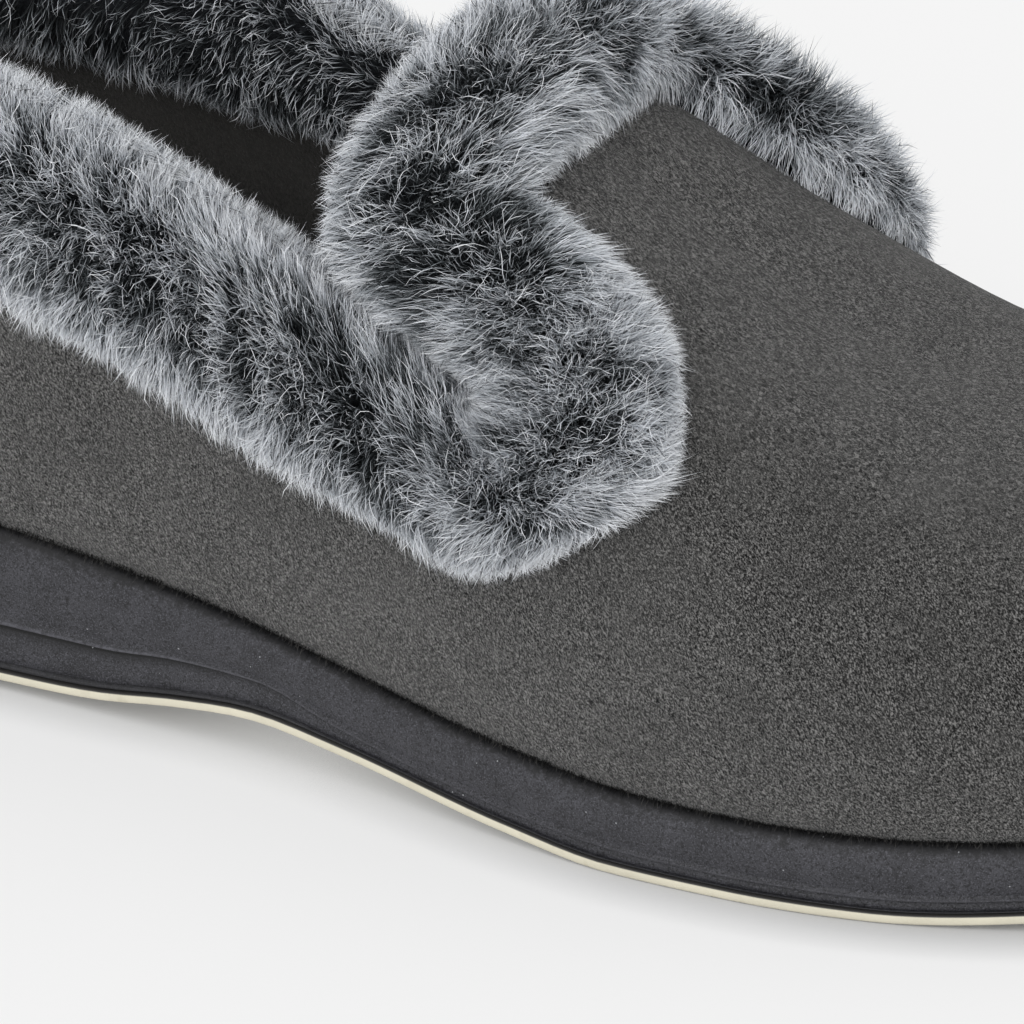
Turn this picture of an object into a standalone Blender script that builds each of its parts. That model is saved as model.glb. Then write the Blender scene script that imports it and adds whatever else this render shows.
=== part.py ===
"""Closed-back slipper for the right foot: +X to the toe, +Y to the inner side of the foot, +Z up.

A charcoal unit sole on a cream outsole carries a one-piece suede upper. A fur collar wraps the
topline: round the heel, into a notch on each side, and over the tab on the instep.
Tables and sizes are in millimetres and degrees, and the finished meshes are in metres.
"""

import math

import bpy
import numpy as np

METRE = 0.001
GAP = 0.3

# Sizes of the slipper
LENGTH = 262.0
OUTSOLE_THICKNESS = 1.4
OUTSOLE_CHAMFER = 0.4
INSOLE_THICKNESS = 4.0
WALL = 2.5
FEATHER_INSET = 1.4
WALL_BULGE = 1.8
BULGE_HOOP = 0.2
ACROSS_POWER = 0.8
UP_POWER = 0.9

# The foot from heel (0) to toe (1): half widths on each side of the axis, the height of the
# underside, of the step line along the sole's side and of the feather line where the upper starts
STATION_COLUMNS = ("along", "lateral", "medial", "axis", "rise", "step", "feather")
STATIONS = np.array((
    (0.00, 0.0, 0.0, 0.0, 1.2, 10.2, 26.4),
    (0.05, 22.6, 22.6, 0.0, 0.0, 10.0, 26.4),
    (0.16, 32.8, 32.5, 0.0, 0.0, 9.8, 25.2),
    (0.22, 33.3, 32.0, 0.0, 0.0, 9.7, 24.4),
    (0.28, 33.5, 31.0, 0.0, 1.0, 9.6, 23.5),
    (0.36, 33.9, 29.8, 0.1, 2.0, 9.7, 21.3),
    (0.40, 34.2, 29.5, 0.2, 3.6, 10.7, 19.8),
    (0.45, 35.6, 30.7, 0.5, 5.0, 11.1, 18.0),
    (0.50, 37.6, 33.0, 1.0, 3.9, 8.0, 15.8),
    (0.60, 43.0, 39.5, 2.0, 1.2, 4.7, 12.5),
    (0.66, 45.3, 42.8, 2.7, 0.0, 3.6, 11.2),
    (0.72, 45.7, 44.6, 3.5, 0.0, 3.4, 10.7),
    (0.79, 43.8, 44.7, 4.4, 0.0, 3.4, 10.8),
    (0.86, 38.4, 41.9, 5.6, 0.9, 4.3, 11.4),
    (0.94, 27.2, 32.0, 7.0, 3.9, 7.3, 13.9),
    (1.00, 0.0, 0.0, 8.0, 7.4, 10.8, 17.4),
))

# Each hoop of the upper runs from the feather line up to this point of the ridge over the foot
HOOP_COLUMNS = ("along", "ridge_x", "ridge_z")
HOOPS = np.array((
    (0.00, 68.0, 150.0),
    (0.16, 80.0, 141.0),
    (0.34, 100.0, 118.0),
    (0.50, 122.0, 90.4),
    (0.60, 146.0, 81.3),
    (0.68, 164.0, 69.6),
    (0.76, 182.0, 60.5),
    (0.85, 201.0, 55.5),
    (0.94, 216.0, 53.6),
    (1.00, 223.0, 53.0),
))

# Side of the midsole, from the bottom up. A row is band, share and inset: the share of the height
# from the base to the step line (band 0) or from the step line to the feather line (band 1), and
# how far the side stands in there
MIDSOLE_SIDE = (
    (0, 0.00, 1.7),
    (0, 0.25, 1.5),
    (0, 0.32, 1.0),
    (0, 0.93, 0.9),
    (1, 0.02, 0.0),
    (1, 0.12, 0.0),
    (1, 0.45, -0.4),
    (1, 0.82, 0.0),
    (1, 0.95, 0.4),
    (1, 1.00, 1.2),
)

# The notch on each side: how far along the foot it reaches, and the hoop angles of its two edges
NOTCH_ALONG = 155.0
NOTCH_LOW = 34.8
NOTCH_HIGH = 38.8

# The topline of the quarter (along the foot, hoop angle) and the free edge of the tab
QUARTER_EDGE = np.array(
    ((0, 25), (40, 27), (80, 31), (105, 33), (125, 34.2), (NOTCH_ALONG, NOTCH_LOW)), float)
TAB_EDGE = np.array(
    ((NOTCH_ALONG, NOTCH_HIGH), (145.5, 44), (136.5, 50.5), (135.8, 58), (139, 72), (142, 90)), float)

# The fur collar from the heel to the middle of the tab. A row gives a place on the edge that it
# wraps, the place where its outer band ends, how far it stands up past the edge, its depth off the
# outer face on the medial side, where the lobe beside the tab is fuller, and the width of its inner
# band as a share of the outer one
COLLAR_COLUMNS = (
    "edge_along", "edge_angle", "rim_along", "rim_angle", "lip", "medial_depth", "inner_share")
COLLAR = np.array((
    (0.0, 25.0, 0.0, 14.5, 8.0, 11.0, 0.92),
    (40.0, 27.0, 40.0, 15.5, 8.0, 11.0, 0.92),
    (80.0, 31.0, 80.0, 17.4, 8.0, 11.0, 0.80),
    (105.0, 33.0, 106.0, 17.6, 8.0, 11.0, 0.58),
    (125.0, 34.2, 127.0, 17.6, 7.5, 11.0, 0.60),
    (141.0, 34.6, 143.0, 17.6, 5.0, 11.0, 0.66),
    (151.0, 34.8, 154.0, 17.8, 2.2, 11.0, 0.78),
    (155.0, 35.2, 162.8, 21.8, 1.5, 11.0, 0.85),
    (155.0, 36.0, 171.0, 29.2, 1.4, 11.0, 0.85),
    (155.0, 36.8, 177.5, 37.0, 1.4, 11.5, 0.85),
    (155.0, 37.6, 181.5, 45.5, 1.4, 12.5, 0.85),
    (155.0, 38.4, 181.0, 54.8, 1.5, 14.0, 0.85),
    (151.0, 40.9, 176.0, 63.0, 2.4, 15.5, 0.85),
    (143.2, 45.6, 165.5, 67.0, 6.0, 17.0, 0.85),
    (136.5, 50.5, 157.0, 68.5, 8.2, 16.5, 0.85),
    (135.8, 58.0, 157.5, 75.0, 8.0, 14.0, 0.85),
    (139.0, 72.0, 159.5, 82.5, 6.8, 11.5, 0.85),
    (142.0, 90.0, 161.0, 90.0, 6.0, 11.0, 0.85),
))
NOTCH_ROWS = (6, 12)

# Section of the fur: its depth off each face of the wall, how round it is, and its raised locks
FUR_DEPTH = 11.0
FUR_INNER_DEPTH = 7.0
FUR_RIM = 0.8
FUR_FULLNESS = 0.7
FUR_GAP = 0.5
LOCK_HEIGHT = 1.6
LOCK_LAY = 1.2
LOCK_VALLEY = -0.4
FULL_LIP = 4.0

# How finely the pieces are divided
SOLE_STEPS = 40
QUARTER_STEPS = 20
VAMP_STEPS = 18
QUARTER_ROWS = 6
TAB_ROWS = 8
COLLAR_STEPS = 58
OUTER_STEPS = 7
INNER_STEPS = 5
SLOT_STEPS = 4
TRACK_POINTS = 9
RUN_POINTS = 500
OUTLINE_STEP = 0.004
FACE_STEP = 0.01

MATERIALS = {
    "outsole": ("cream_rubber", (0.76, 0.71, 0.51), 0.6),
    "midsole": ("charcoal_unit_sole", (0.058, 0.058, 0.065), 0.62),
    "insole": ("dark_footbed", (0.018, 0.018, 0.017), 0.9),
    "upper": ("grey_suede", (0.084, 0.084, 0.082), 0.92),
    "fur_collar": ("tipped_fur", (0.11, 0.12, 0.13), 0.95),
}


def smooth(knots, values, at):
    """Cubic curve through the values that keeps flat runs flat and adds no humps between rows."""
    steps = np.diff(knots)
    slopes = np.diff(values) / steps
    tangents = np.gradient(values, knots, edge_order=2)
    most = 3 * np.minimum(np.abs(slopes[:-1]), np.abs(slopes[1:]))
    turns = slopes[:-1] * slopes[1:] <= 0
    tangents[1:-1] = np.where(turns, 0.0, np.clip(tangents[1:-1], -most, most))
    row = np.clip(np.searchsorted(knots, at) - 1, 0, len(steps) - 1)
    t = np.clip((at - knots[row]) / steps[row], 0.0, 1.0)
    start, end = values[row], values[row + 1]
    bend_in, bend_out = tangents[row] * steps[row], tangents[row + 1] * steps[row]
    blend = t * t * (3 - 2 * t)
    return start + (end - start) * blend + t * (1 - t) * (bend_in * (1 - t) - bend_out * t)


def foot_angle(x):
    """Angle round the foot, 0 at the heel and pi at the toe, which spaces points closer at both ends."""
    return np.arccos(np.clip(1 - 2 * np.asarray(x, float) / LENGTH, -1.0, 1.0))


def station(name, angle):
    knots = foot_angle(STATIONS[:, 0] * LENGTH)
    return smooth(knots, STATIONS[:, STATION_COLUMNS.index(name)], angle)


def hoop_value(name, angle):
    knots = foot_angle(HOOPS[:, 0] * LENGTH)
    return smooth(knots, HOOPS[:, HOOP_COLUMNS.index(name)], angle)


def edge_of_foot(angle, side):
    """Plan outline on one side, -1 lateral or +1 medial."""
    half = np.where(side < 0, station("lateral", angle), station("medial", angle))
    return np.stack([LENGTH * (1 - np.cos(angle)) / 2, station("axis", angle) + side * half], axis=-1)


def outward(angle, side):
    """Plan direction square to the outline, away from the foot."""
    ahead = edge_of_foot(np.minimum(angle + OUTLINE_STEP, math.pi), side)
    behind = edge_of_foot(np.maximum(angle - OUTLINE_STEP, 0.0), side)
    along = ahead - behind
    across = np.stack([-along[..., 1] * side, along[..., 0] * side], axis=-1)
    return across / np.linalg.norm(across, axis=-1, keepdims=True)


def perimeter(steps):
    """Foot angle and side of points from heel to toe along the lateral side and back on the medial."""
    half = np.linspace(0.0, math.pi, steps + 1)
    angle = np.concatenate([half, half[-2:0:-1]])
    side = np.concatenate([np.full(steps + 1, -1.0), np.full(steps - 1, 1.0)])
    return angle, side


def sole_ring(inset, height):
    """Ring round the foot, set in from the outline, at the height that the function gives for each x."""
    angle, side = perimeter(SOLE_STEPS)
    plan = edge_of_foot(angle, side) - outward(angle, side) * inset
    return np.column_stack([plan, height(foot_angle(plan[:, 0]))])


def upper_point(angle, side, hoop):
    """Outer face of the upper: hoop 0 is at the feather line and 1 on the ridge."""
    angle, side, hoop = np.broadcast_arrays(*(np.asarray(v, float) for v in (angle, side, hoop)))
    out = outward(angle, side)
    swell = WALL_BULGE * (1 - (1 - np.minimum(hoop / BULGE_HOOP, 1.0)) ** 2)
    foot = edge_of_foot(angle, side) + out * (swell - FEATHER_INSET)[..., None]
    foot_z = station("feather", foot_angle(foot[..., 0])) + GAP
    ridge_x, ridge_z = hoop_value("ridge_x", angle), hoop_value("ridge_z", angle)
    ridge = np.stack([ridge_x, station("axis", foot_angle(ridge_x))], axis=-1)
    turn = hoop * math.pi / 2
    across = 1 - np.cos(turn).clip(0.0) ** ACROSS_POWER
    up = np.sin(turn) ** UP_POWER
    plan = foot + (ridge - foot) * across[..., None]
    return np.concatenate([plan, (foot_z + (ridge_z - foot_z) * up)[..., None]], axis=-1)


def upper_frame(angle, degrees, side):
    """Point of the upper's outer face and the direction square to it."""
    hoop = degrees / 90.0
    behind, ahead = np.maximum(angle - FACE_STEP, 0.0), angle + FACE_STEP
    below, above = hoop - FACE_STEP, np.minimum(hoop + FACE_STEP, 1.0)
    lengthwise = upper_point(ahead, side, hoop) - upper_point(behind, side, hoop)
    upwards = upper_point(angle, side, above) - upper_point(angle, side, below)
    normal = np.cross(lengthwise, upwards) * -np.asarray(side, float)[..., None]
    return upper_point(angle, side, hoop), normal / np.linalg.norm(normal, axis=-1, keepdims=True)


def quarter_angle(angle):
    """Hoop angle of the quarter's topline."""
    return smooth(foot_angle(QUARTER_EDGE[:, 0]), QUARTER_EDGE[:, 1], angle)


def tab_angle(degrees):
    """Foot angle of the tab's free edge."""
    return smooth(TAB_EDGE[:, 1], foot_angle(TAB_EDGE[:, 0]), degrees)


def make_material(name, colour, roughness):
    material = bpy.data.materials.new(name)
    material.use_nodes = True
    shader = material.node_tree.nodes["Principled BSDF"]
    shader.inputs["Base Color"].default_value = (*colour, 1.0)
    shader.inputs["Roughness"].default_value = roughness
    shader.inputs["Metallic"].default_value = 0.0
    return material


def make_part(name, points, faces, collection, root):
    mesh = bpy.data.meshes.new(name)
    mesh.from_pydata((np.asarray(points) * METRE).tolist(), [], faces)
    mesh.validate()
    mesh.shade_smooth()
    mesh.materials.append(make_material(*MATERIALS[name]))
    part = bpy.data.objects.new(name, mesh)
    collection.objects.link(part)
    part.parent = root
    return part


def plate(rings):
    """Closed body through rings of the foot's outline, bottom first, capped with strips across it."""
    count, steps, last = len(rings[0]), SOLE_STEPS, len(rings) - 1
    faces = []
    for ring in range(last):
        for i in range(count):
            low, high, after = ring * count, (ring + 1) * count, (i + 1) % count
            faces.append((low + i, low + after, high + after, high + i))
    for i in range(steps):
        strip = list(dict.fromkeys((i, i + 1, count - i - 1, (count - i) % count)))
        faces.append(tuple(reversed(strip)))
        faces.append(tuple(last * count + corner for corner in strip))
    return np.concatenate(rings), faces


def build_outsole():
    def level(height):
        return lambda angle: station("rise", angle) + height

    return plate([
        sole_ring(OUTSOLE_CHAMFER, level(0.0)),
        sole_ring(0.0, level(OUTSOLE_CHAMFER)),
        sole_ring(0.0, level(OUTSOLE_THICKNESS)),
    ])


def build_midsole():
    def level(band, share):
        def height(angle):
            base = station("rise", angle) + OUTSOLE_THICKNESS + GAP
            step, feather = station("step", angle), station("feather", angle)
            low, high = ((base, step), (step, feather))[band]
            return low + (high - low) * share
        return height

    return plate([sole_ring(inset, level(band, share)) for band, share, inset in MIDSOLE_SIDE])


def build_insole():
    inset = FEATHER_INSET + WALL + 2 * GAP

    def level(height):
        return lambda angle: station("feather", angle) + height

    return plate([sole_ring(inset, level(GAP)), sole_ring(inset, level(GAP + INSOLE_THICKNESS))])


def build_upper():
    """Open outer face of the upper: a band all round up to the topline, and a band over the vamp."""
    notch = foot_angle(NOTCH_ALONG)
    quarter = np.linspace(0.0, notch, QUARTER_STEPS + 1)
    vamp = np.linspace(notch, math.pi, VAMP_STEPS + 1)
    half = np.concatenate([quarter, vamp[1:]])
    angle = np.concatenate([half, half[-2:0:-1]])
    side = np.concatenate([np.full(len(half), -1.0), np.full(len(half) - 2, 1.0)])
    count = len(angle)
    top = quarter_angle(np.minimum(angle, notch)) / 90.0
    shares = np.linspace(0.0, 1.0, QUARTER_ROWS + 1)
    points = [upper_point(angle, side, top * share) for share in shares]
    faces = []
    for row in range(QUARTER_ROWS):
        for i in range(count):
            low, high, after = row * count, (row + 1) * count, (i + 1) % count
            faces.append((low + i, low + after, high + after, high + i))

    # The vamp's columns start on the free edge of the tab, so they lean back with it
    columns = np.arange(2 * VAMP_STEPS + 1)
    share = 1 - np.abs(columns / VAMP_STEPS - 1)
    vamp_side = np.where(columns <= VAMP_STEPS, -1.0, 1.0)
    below = [QUARTER_ROWS * count + (QUARTER_STEPS + i) % count for i in columns]
    total = (QUARTER_ROWS + 1) * count
    for degrees in np.linspace(NOTCH_HIGH, 90.0, TAB_ROWS + 1):
        start = tab_angle(degrees)
        row = upper_point(start + (math.pi - start) * share, vamp_side, degrees / 90.0)
        here = [total + i for i in columns]
        if degrees == 90.0:
            row = row[:VAMP_STEPS + 1]
            here = [total + VAMP_STEPS - abs(i - VAMP_STEPS) for i in columns]
        points.append(row)
        total += len(row)
        for i in columns[:-1]:
            faces.append(tuple(dict.fromkeys((below[i], below[i + 1], here[i + 1], here[i]))))
        below = here
    return np.concatenate(points), faces


def collar_rows(at):
    """Collar table read between its rows: edge and rim as (foot angle, hoop angle), the lip, the depth
    on the medial side, and the share of the inner band."""
    rows = np.arange(len(COLLAR), dtype=float)
    read = {}
    for name, column in zip(COLLAR_COLUMNS, COLLAR.T):
        read[name] = smooth(rows, foot_angle(column) if name.endswith("along") else column, at)
    first, last = NOTCH_ROWS
    edge_angle = np.where(at <= first, quarter_angle(read["edge_along"]), read["edge_angle"])
    edge_along = np.where(at >= last, tab_angle(edge_angle), read["edge_along"])
    edge = np.column_stack([edge_along, edge_angle])
    rim = np.column_stack([read["rim_along"], read["rim_angle"]])
    return edge, rim, read["lip"], read["medial_depth"], read["inner_share"]


def collar_stations():
    """Places from the heel to the middle of the tab, spaced evenly along the middle of the band."""
    fine = np.linspace(0.0, len(COLLAR) - 1.0, RUN_POINTS)
    edge, rim, _, _, _ = collar_rows(fine)
    lateral = np.full(len(fine), -1.0)
    middle = sum(upper_point(place[:, 0], lateral, place[:, 1] / 90.0) for place in (edge, rim)) / 2
    run = np.concatenate([[0.0], np.cumsum(np.linalg.norm(np.diff(middle, axis=0), axis=1))])
    return collar_rows(np.interp(np.linspace(0.0, run[-1], COLLAR_STEPS + 1), run, fine))


def collar_section(lip, width, inner_width, outer_depth, lock):
    """Section of the fur, as pairs of distance from the edge into the cloth and height off its face."""
    rows = []
    outer_middle, outer_half = (width - lip) / 2, (width + lip) / 2
    for i in range(OUTER_STEPS + 1):
        turn = math.pi * i / OUTER_STEPS
        round_up = math.sin(turn) ** FUR_FULLNESS if 0 < i < OUTER_STEPS else 0.0
        foot = FUR_GAP + FUR_RIM if turn < math.pi / 2 else 0.0
        raised = lock[i] * round_up
        rows.append((outer_middle + outer_half * math.cos(turn) + LOCK_LAY * raised / LOCK_HEIGHT,
                     foot + (outer_depth - foot) * round_up + raised))
    inner_middle, inner_half = (inner_width - lip) / 2, (inner_width + lip) / 2
    face = -WALL - FUR_GAP
    for i in range(1, INNER_STEPS + 1):
        turn = math.pi * (1 - i / INNER_STEPS)
        round_up = math.sin(turn) ** FUR_FULLNESS if i < INNER_STEPS else 0.0
        foot = FUR_RIM - face if turn < math.pi / 2 else 0.0
        depth = FUR_INNER_DEPTH + WALL
        rows.append((inner_middle + inner_half * math.cos(turn), -foot - (depth - foot) * round_up))
    for i in range(SLOT_STEPS - 1):
        rows.append((inner_width * (1 - i / (SLOT_STEPS - 1)), face))
    rows.append((-FUR_GAP, face))
    rows.append((-FUR_GAP, FUR_GAP))
    for i in range(1, SLOT_STEPS + 1):
        rows.append((width * i / SLOT_STEPS, FUR_GAP))
    return np.array(rows)


def build_collar():
    """Fur that wraps the topline in one closed loop, with staggered locks raised on its outer face."""
    edges, rims, lips, medial_depths, inner_shares = collar_stations()
    order = list(range(COLLAR_STEPS + 1)) + list(range(COLLAR_STEPS - 1, 0, -1))
    rings = []
    for k, i in enumerate(order):
        side = -1.0 if k <= COLLAR_STEPS else 1.0
        edge, rim, lip = edges[i], rims[i], lips[i]
        track_place = edge + (rim - edge) * np.linspace(0.0, 1.0, TRACK_POINTS)[:, None]
        track = upper_point(track_place[:, 0], side, track_place[:, 1] / 90.0)
        width = np.linalg.norm(np.diff(track, axis=0), axis=1).sum()
        height = LOCK_HEIGHT * min(lip / FULL_LIP, 1.0)
        lock = [height * (1.0 if (k + j) % 2 else LOCK_VALLEY) for j in range(OUTER_STEPS + 1)]
        outer_depth = FUR_DEPTH if side < 0 else medial_depths[i]
        section = collar_section(lip, width, width * inner_shares[i], outer_depth, lock)
        place = edge + (rim - edge) * np.clip(section[:, 0] / width, 0.0, None)[:, None]
        face, normal = upper_frame(place[:, 0], place[:, 1], np.full(len(place), side))
        back = (track[0] - track[1]) / np.linalg.norm(track[0] - track[1])
        past_edge = np.clip(-section[:, 0], 0.0, None)
        rings.append(face + normal * section[:, 1, None] + back * past_edge[:, None])
    size = len(rings[0])
    faces = []
    for k in range(len(rings)):
        here, after = k * size, (k + 1) % len(rings) * size
        for j in range(size):
            beside = (j + 1) % size
            faces.append((here + j, after + j, after + beside, here + beside))
    return np.concatenate(rings), faces


def main():
    for item in list(bpy.data.objects):
        bpy.data.objects.remove(item, do_unlink=True)
    collection = bpy.data.collections.new("closed_back_slipper")
    bpy.context.scene.collection.children.link(collection)
    shapes = {
        "outsole": build_outsole(),
        "midsole": build_midsole(),
        "insole": build_insole(),
        "upper": build_upper(),
        "fur_collar": build_collar(),
    }
    every_point = np.concatenate([points for points, _ in shapes.values()])
    low, high = every_point.min(axis=0), every_point.max(axis=0)
    root = bpy.data.objects.new("slipper_root", None)
    collection.objects.link(root)
    middle = (low + high) / 2
    root.location = [-value * METRE for value in (middle[0], middle[1], low[2])]
    for name, (points, faces) in shapes.items():
        part = make_part(name, points, faces, collection, root)
        if name == "upper":
            wall = part.modifiers.new("wall", "SOLIDIFY")
            wall.thickness = WALL * METRE
            wall.offset = -1.0
            wall.use_even_offset = True
            wall.use_quality_normals = True


main()
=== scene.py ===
import math

import bmesh
import bpy
import numpy as np
from mathutils import Matrix, Vector


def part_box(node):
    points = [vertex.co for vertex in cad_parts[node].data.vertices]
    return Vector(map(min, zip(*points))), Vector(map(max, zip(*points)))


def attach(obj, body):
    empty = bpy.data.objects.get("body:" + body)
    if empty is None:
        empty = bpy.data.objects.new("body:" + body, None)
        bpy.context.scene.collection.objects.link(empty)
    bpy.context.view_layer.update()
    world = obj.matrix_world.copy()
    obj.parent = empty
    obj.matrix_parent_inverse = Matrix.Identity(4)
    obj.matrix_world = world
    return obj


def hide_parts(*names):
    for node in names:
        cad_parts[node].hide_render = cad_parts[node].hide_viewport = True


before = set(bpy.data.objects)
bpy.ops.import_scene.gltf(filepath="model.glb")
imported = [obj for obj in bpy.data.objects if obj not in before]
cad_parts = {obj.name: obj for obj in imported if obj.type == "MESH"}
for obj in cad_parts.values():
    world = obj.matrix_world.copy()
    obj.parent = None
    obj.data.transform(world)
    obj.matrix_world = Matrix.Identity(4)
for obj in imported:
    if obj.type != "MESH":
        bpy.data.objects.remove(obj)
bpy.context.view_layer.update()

# Closed-back slipper for the right foot in a plain studio. +X runs to the toe, +Y to the inner side
# of the foot and +Z up. Sizes are in millimetres and degrees, and MM turns them into metres.

# Outsole: a thin cream rubber sheet cut to the foot's outline, cemented under the unit sole.
# It follows the arch and the toe spring. Its cut edge is a pale line all round, and shallow ribs
# are moulded across its underside.
MM = 0.001
LENGTH = 262.0
OUTSOLE_THICKNESS = 1.4
OUTSOLE_EDGE_STEPS = 240
RIB_PITCH = 3.4
RIB_DEPTH = 0.5
UNDERSIDE_FACING = -0.7
CREAM = (0.69, 0.65, 0.52)
GRIME = (0.42, 0.38, 0.27)
CEMENT = (0.045, 0.043, 0.042)
# Rows of the section between which the cement line fades in along the top of the edge
CEMENT_ROWS = (6.55, 6.95)
# Half widths on each side of the foot's axis, and the height of the underside, of the step line
# along the sole's side and of the feather line where the upper starts, from heel (0) to toe (1)
STATION_COLUMNS = ("along", "lateral", "medial", "axis", "rise", "step", "feather")
STATIONS = np.array((
    (0.00, 0.0, 0.0, 0.0, 1.2, 10.2, 26.4),
    (0.05, 22.6, 22.6, 0.0, 0.0, 10.0, 26.4),
    (0.16, 32.8, 32.5, 0.0, 0.0, 9.8, 25.2),
    (0.22, 33.3, 32.0, 0.0, 0.0, 9.7, 24.4),
    (0.28, 33.5, 31.0, 0.0, 1.0, 9.6, 23.5),
    (0.36, 33.9, 29.8, 0.1, 2.0, 9.7, 21.3),
    (0.40, 34.2, 29.5, 0.2, 3.6, 10.7, 19.8),
    (0.45, 35.6, 30.7, 0.5, 5.0, 11.1, 18.0),
    (0.50, 37.6, 33.0, 1.0, 3.9, 8.0, 15.8),
    (0.60, 43.0, 39.5, 2.0, 1.2, 4.7, 12.5),
    (0.66, 45.3, 42.8, 2.7, 0.0, 3.6, 11.2),
    (0.72, 45.7, 44.6, 3.5, 0.0, 3.4, 10.7),
    (0.79, 43.8, 44.7, 4.4, 0.0, 3.4, 10.8),
    (0.86, 38.4, 41.9, 5.6, 0.9, 4.3, 11.4),
    (0.94, 27.2, 32.0, 7.0, 3.9, 7.3, 13.9),
    (1.00, 0.0, 0.0, 8.0, 7.4, 10.8, 17.4),
))
# Section from the middle of the underside round the edge to the middle of the top: reach from the
# foot's axis to its outline, inset from the outline, and height as a share of the thickness
OUTSOLE_SECTION = np.array((
    (0.00, 0.0, 0.0), (0.50, 0.3, 0.0), (0.97, 0.4, 0.0), (1.00, 0.4, 0.0), (1.00, 0.12, 0.1),
    (1.00, 0.0, 0.3), (1.00, 0.0, 0.7), (1.00, 0.06, 0.95), (1.00, 0.2, 1.0), (0.95, 0.4, 1.0),
    (0.50, 0.4, 1.0), (0.00, 0.0, 1.0),
))


def smooth(knots, values, at):
    """Cubic curve through the values that keeps flat runs flat and adds no humps between rows."""
    steps = np.diff(knots)
    slopes = np.diff(values) / steps
    tangents = np.gradient(values, knots, edge_order=2)
    most = 3 * np.minimum(np.abs(slopes[:-1]), np.abs(slopes[1:]))
    turns = slopes[:-1] * slopes[1:] <= 0
    tangents[1:-1] = np.where(turns, 0.0, np.clip(tangents[1:-1], -most, most))
    row = np.clip(np.searchsorted(knots, at) - 1, 0, len(steps) - 1)
    t = np.clip((at - knots[row]) / steps[row], 0.0, 1.0)
    start, end = values[row], values[row + 1]
    bend_in, bend_out = tangents[row] * steps[row], tangents[row + 1] * steps[row]
    blend = t * t * (3 - 2 * t)
    return start + (end - start) * blend + t * (1 - t) * (bend_in * (1 - t) - bend_out * t)


def foot_angle(x):
    """Angle round the foot, 0 at the heel and pi at the toe, for a place along it."""
    return np.arccos(np.clip(1 - 2 * np.asarray(x, float) / LENGTH, -1.0, 1.0))


def station(name, angle):
    knots = foot_angle(STATIONS[:, 0] * LENGTH)
    return smooth(knots, STATIONS[:, STATION_COLUMNS.index(name)], angle)


def edge_of_foot(angle, side):
    """Plan outline on one side, -1 lateral or +1 medial."""
    half = np.where(side < 0, station("lateral", angle), station("medial", angle))
    return np.stack([LENGTH * (1 - np.cos(angle)) / 2, station("axis", angle) + side * half], axis=-1)


def outward(angle, side, step=0.004):
    """Plan direction square to the outline, away from the foot."""
    ahead = edge_of_foot(np.minimum(angle + step, math.pi), side)
    along = ahead - edge_of_foot(np.maximum(angle - step, 0.0), side)
    across = np.stack([-along[..., 1] * side, along[..., 0] * side], axis=-1)
    return across / np.linalg.norm(across, axis=-1, keepdims=True)


def perimeter(share):
    """Foot angle and side at a share of the way round: heel, lateral side, toe, medial side, heel."""
    return math.pi * (1 - np.abs(1 - 2 * share)), np.where(share <= 0.5, -1.0, 1.0)


# The solids stand in the row's frame, and the tables above start at the back of the heel
CORNER = edge_of_foot(np.linspace(0.0, math.pi, 41), -1.0).min(axis=0)
ORIGIN = np.array(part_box("outsole")[0]) - np.append(CORNER, 0.0) * MM


def link(name, mesh, slot, *materials):
    """Puts a finished mesh in the scene as a piece of the slipper's one body."""
    piece = bpy.data.objects.new(name, mesh)
    bpy.context.scene.collection.objects.link(piece)
    for material in materials:
        mesh.materials.append(material)
    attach(piece, "root")
    return piece


def woven(name, sheets):
    """Mesh of grids, each given as columns, rows and the place of a share across and up. The share up,
    plus the number of the sheet, stays on the mesh as the attribute climb."""
    bm = bmesh.new()
    climb = bm.verts.layers.float.new("climb")
    for number, (columns, rows, place) in enumerate(sheets):
        made = bmesh.ops.create_grid(bm, x_segments=columns, y_segments=rows, size=0.5)["verts"]
        across, up = (np.array([corner.co[axis] + 0.5 for corner in made]) for axis in (0, 1))
        for corner, point, share in zip(made, ORIGIN + place(across, up) * MM, up):
            corner.co = point
            corner[climb] = number + share
    bmesh.ops.remove_doubles(bm, verts=bm.verts, dist=0.01 * MM)
    bmesh.ops.recalc_face_normals(bm, faces=bm.faces)
    mesh = bpy.data.meshes.new(name)
    bm.to_mesh(mesh)
    bm.free()
    mesh.shade_smooth()
    return mesh


def sole_place(section, heights):
    """Place on a closed body under the foot. Each row of the section gives reach, inset and level, and
    a level is a position in the list of heights."""
    rows = np.arange(len(section), dtype=float)

    def place(across, up):
        angle, side = perimeter(across)
        reach, inset, level = (np.interp(up * rows[-1], rows, column) for column in section.T)
        plan = edge_of_foot(angle, side) - outward(angle, side) * inset[:, None]
        here = foot_angle(plan[:, 0])
        spine = np.stack([plan[:, 0], station("axis", here)], axis=-1)
        plan = spine + (plan - spine) * reach[:, None]
        levels = np.stack(heights(here))
        low = np.clip(np.floor(level).astype(int), 0, len(levels) - 2)
        each = np.arange(len(level))
        z = levels[low, each] + (levels[low + 1, each] - levels[low, each]) * (level - low)
        return np.column_stack([plan, z])

    return place


def add(tree, kind, values=None, **settings):
    """New shader node with its settings and its inputs, each a value or a socket to link from."""
    made = tree.nodes.new(kind)
    for name, value in settings.items():
        setattr(made, name, value)
    for name, value in (values or {}).items():
        if isinstance(value, bpy.types.NodeSocket):
            tree.links.new(value, made.inputs[name])
        else:
            made.inputs[name].default_value = value
    return made


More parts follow.
